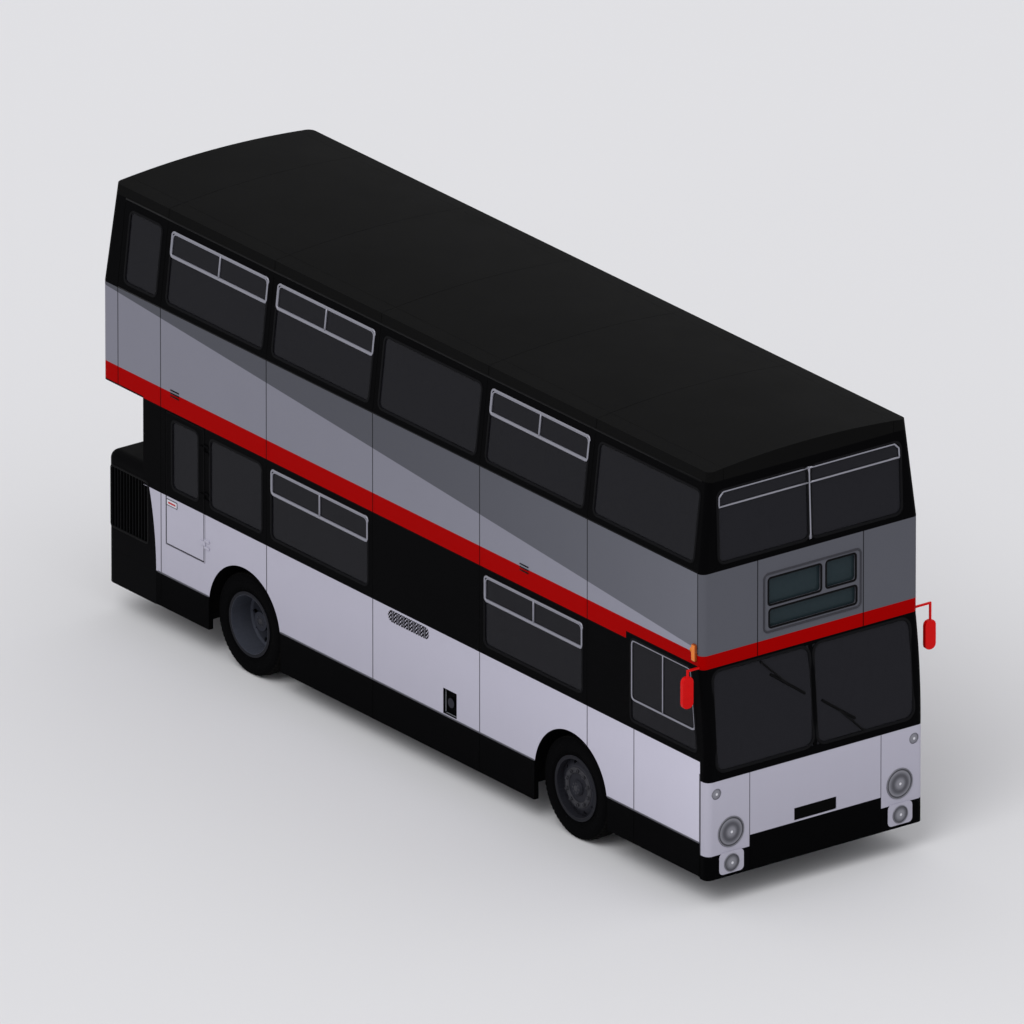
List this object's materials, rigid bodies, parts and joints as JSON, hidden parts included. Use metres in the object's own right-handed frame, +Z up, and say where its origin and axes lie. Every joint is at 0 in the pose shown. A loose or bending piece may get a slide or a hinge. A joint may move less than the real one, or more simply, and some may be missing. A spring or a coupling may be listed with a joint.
{
  "type": "double-decker bus",
  "caption": "Rear-engined double-decker bus with folding front entrance doors, a stair to the upper saloon, steered front wheels and twin rear wheels.",
  "frame": {"origin": "on the ground, at the middle of the length and width", "axes": "+X forwards, +Y to the nearside with the entrance, +Z up"},
  "size_m": [9.378, 2.919, 4.2998],
  "materials": {
    "black_plastic": "satin",
    "body_black": "gloss",
    "body_grey": "gloss",
    "body_red": "gloss",
    "body_white": "gloss",
    "bright_metal": "satin",
    "cab_trim": "satin",
    "chassis": "satin",
    "dash_plastic": "matte",
    "door_metal": "gloss",
    "engine_iron": "cast",
    "floor_covering": "matte",
    "glass": "clear",
    "lens": "clear",
    "mirror_red": "gloss",
    "roof_paint": "satin",
    "seat_cloth": "woven",
    "tinted_glass": "clear",
    "tyre": "matte",
    "wheel_paint": "satin"
  },
  "bodies": {
    "body": {"cab_partition": "cab_trim", "chassis_frame": "chassis", "dashboard": "dash_plastic", "destination_glass": "tinted_glass", "engine_block": "engine_iron", "engine_bustle": "body_white", "front_axle": "chassis", "lamps": "lens", "lower_floor": "floor_covering", "lower_front_panel": "body_white", "lower_rear_panel": "body_black", "mirrors": "mirror_red", "nearside_lower_side": "body_white", "nearside_upper_side": "body_grey", "offside_lower_side": "body_white", "offside_upper_side": "body_grey", "rear_axle": "chassis", "roof": "roof_paint", "saloon_glass": "glass", "seats": "seat_cloth", "staircase": "floor_covering", "upper_floor": "floor_covering", "upper_front_panel": "body_red", "upper_rear_panel": "body_grey", "wheel_boxes": "floor_covering", "window_vents": "bright_metal", "windscreen": "glass", "wipers": "black_plastic"},
    "offside_knuckle": {"offside_knuckle": "chassis"},
    "nearside_knuckle": {"nearside_knuckle": "chassis"},
    "offside_front_wheel": {"offside_front_wheel": "wheel_paint", "offside_front_tyre": "tyre"},
    "nearside_front_wheel": {"nearside_front_wheel": "wheel_paint", "nearside_front_tyre": "tyre"},
    "offside_rear_wheels": {"offside_rear_wheels": "wheel_paint", "offside_rear_tyres": "tyre"},
    "nearside_rear_wheels": {"nearside_rear_wheels": "wheel_paint", "nearside_rear_tyres": "tyre"},
    "steering_wheel": {"steering_wheel": "black_plastic"},
    "emergency_door": {"emergency_door": "body_red"},
    "rear_exit_door": {"rear_exit_door": "body_grey"},
    "engine_cover": {"engine_cover": "body_white"},
    "entrance_outer_leaf_rear": {"entrance_outer_leaf_rear": "door_metal"},
    "entrance_inner_leaf_rear": {"entrance_inner_leaf_rear": "door_metal"},
    "entrance_outer_leaf_front": {"entrance_outer_leaf_front": "door_metal"},
    "entrance_inner_leaf_front": {"entrance_inner_leaf_front": "door_metal"}
  },
  "joints": [
    {"name": "offside_steer", "type": "hinge", "parent": "body", "child": "offside_knuckle", "pos_m": [2.593, -0.94, 0.5], "axis": [0, 0, 1], "range_deg": [-35, 35]},
    {"name": "nearside_steer", "type": "hinge", "parent": "body", "child": "nearside_knuckle", "pos_m": [2.593, 0.94, 0.5], "axis": [0, 0, 1], "range_deg": [-35, 35]},
    {"name": "steering_wheel_turn", "type": "hinge", "parent": "body", "child": "steering_wheel", "pos_m": [4.06, -0.72, 1.2], "axis": [-0.4226, 0, 0.9063], "range_deg": [-630, 630]},
    {"name": "offside_front_spin", "type": "hinge", "parent": "offside_knuckle", "child": "offside_front_wheel", "pos_m": [2.593, -0.94, 0.5], "axis": [0, 1, 0], "continuous": true},
    {"name": "nearside_front_spin", "type": "hinge", "parent": "nearside_knuckle", "child": "nearside_front_wheel", "pos_m": [2.593, 0.94, 0.5], "axis": [0, 1, 0], "continuous": true},
    {"name": "offside_rear_spin", "type": "hinge", "parent": "body", "child": "offside_rear_wheels", "pos_m": [-2.459, -0.94, 0.5], "axis": [0, 1, 0], "continuous": true},
    {"name": "nearside_rear_spin", "type": "hinge", "parent": "body", "child": "nearside_rear_wheels", "pos_m": [-2.459, 0.94, 0.5], "axis": [0, 1, 0], "continuous": true},
    {"name": "entrance_rear_fold", "type": "hinge", "parent": "body", "child": "entrance_outer_leaf_rear", "pos_m": [3.328, 1.222, 0.36], "axis": [0, 0, -1], "range_deg": [0, 84]},
    {"name": "entrance_rear_elbow", "type": "hinge", "parent": "entrance_outer_leaf_rear", "child": "entrance_inner_leaf_rear", "pos_m": [3.5865, 1.222, 0.36], "axis": [0, 0, 1], "range_deg": [0, 168]},
    {"name": "entrance_front_fold", "type": "hinge", "parent": "body", "child": "entrance_outer_leaf_front", "pos_m": [4.432, 1.222, 0.36], "axis": [0, 0, 1], "range_deg": [0, 84]},
    {"name": "entrance_front_elbow", "type": "hinge", "parent": "entrance_outer_leaf_front", "child": "entrance_inner_leaf_front", "pos_m": [4.1735, 1.222, 0.36], "axis": [0, 0, -1], "range_deg": [0, 168]},
    {"name": "emergency_door_hinge", "type": "hinge", "parent": "body", "child": "emergency_door", "pos_m": [-3.071, -1.255, 1.602], "axis": [0, 0, 1], "range_deg": [0, 100]},
    {"name": "rear_exit_hinge", "type": "hinge", "parent": "body", "child": "rear_exit_door", "pos_m": [-4.6339, 0, 4.03], "axis": [0, 1, 0], "range_deg": [0, 80]},
    {"name": "engine_cover_hinge", "type": "hinge", "parent": "body", "child": "engine_cover", "pos_m": [-4.616, 0, 1.48], "axis": [0, 1, 0], "range_deg": [0, 85]}
  ],
  "couplings": [
    {"joint": "nearside_steer", "follows": "offside_steer", "ratio": 1},
    {"joint": "steering_wheel_turn", "follows": "offside_steer", "ratio": 18},
    {"joint": "entrance_rear_elbow", "follows": "entrance_rear_fold", "ratio": 2},
    {"joint": "entrance_front_fold", "follows": "entrance_rear_fold", "ratio": 1},
    {"joint": "entrance_front_elbow", "follows": "entrance_rear_fold", "ratio": 2}
  ]
}
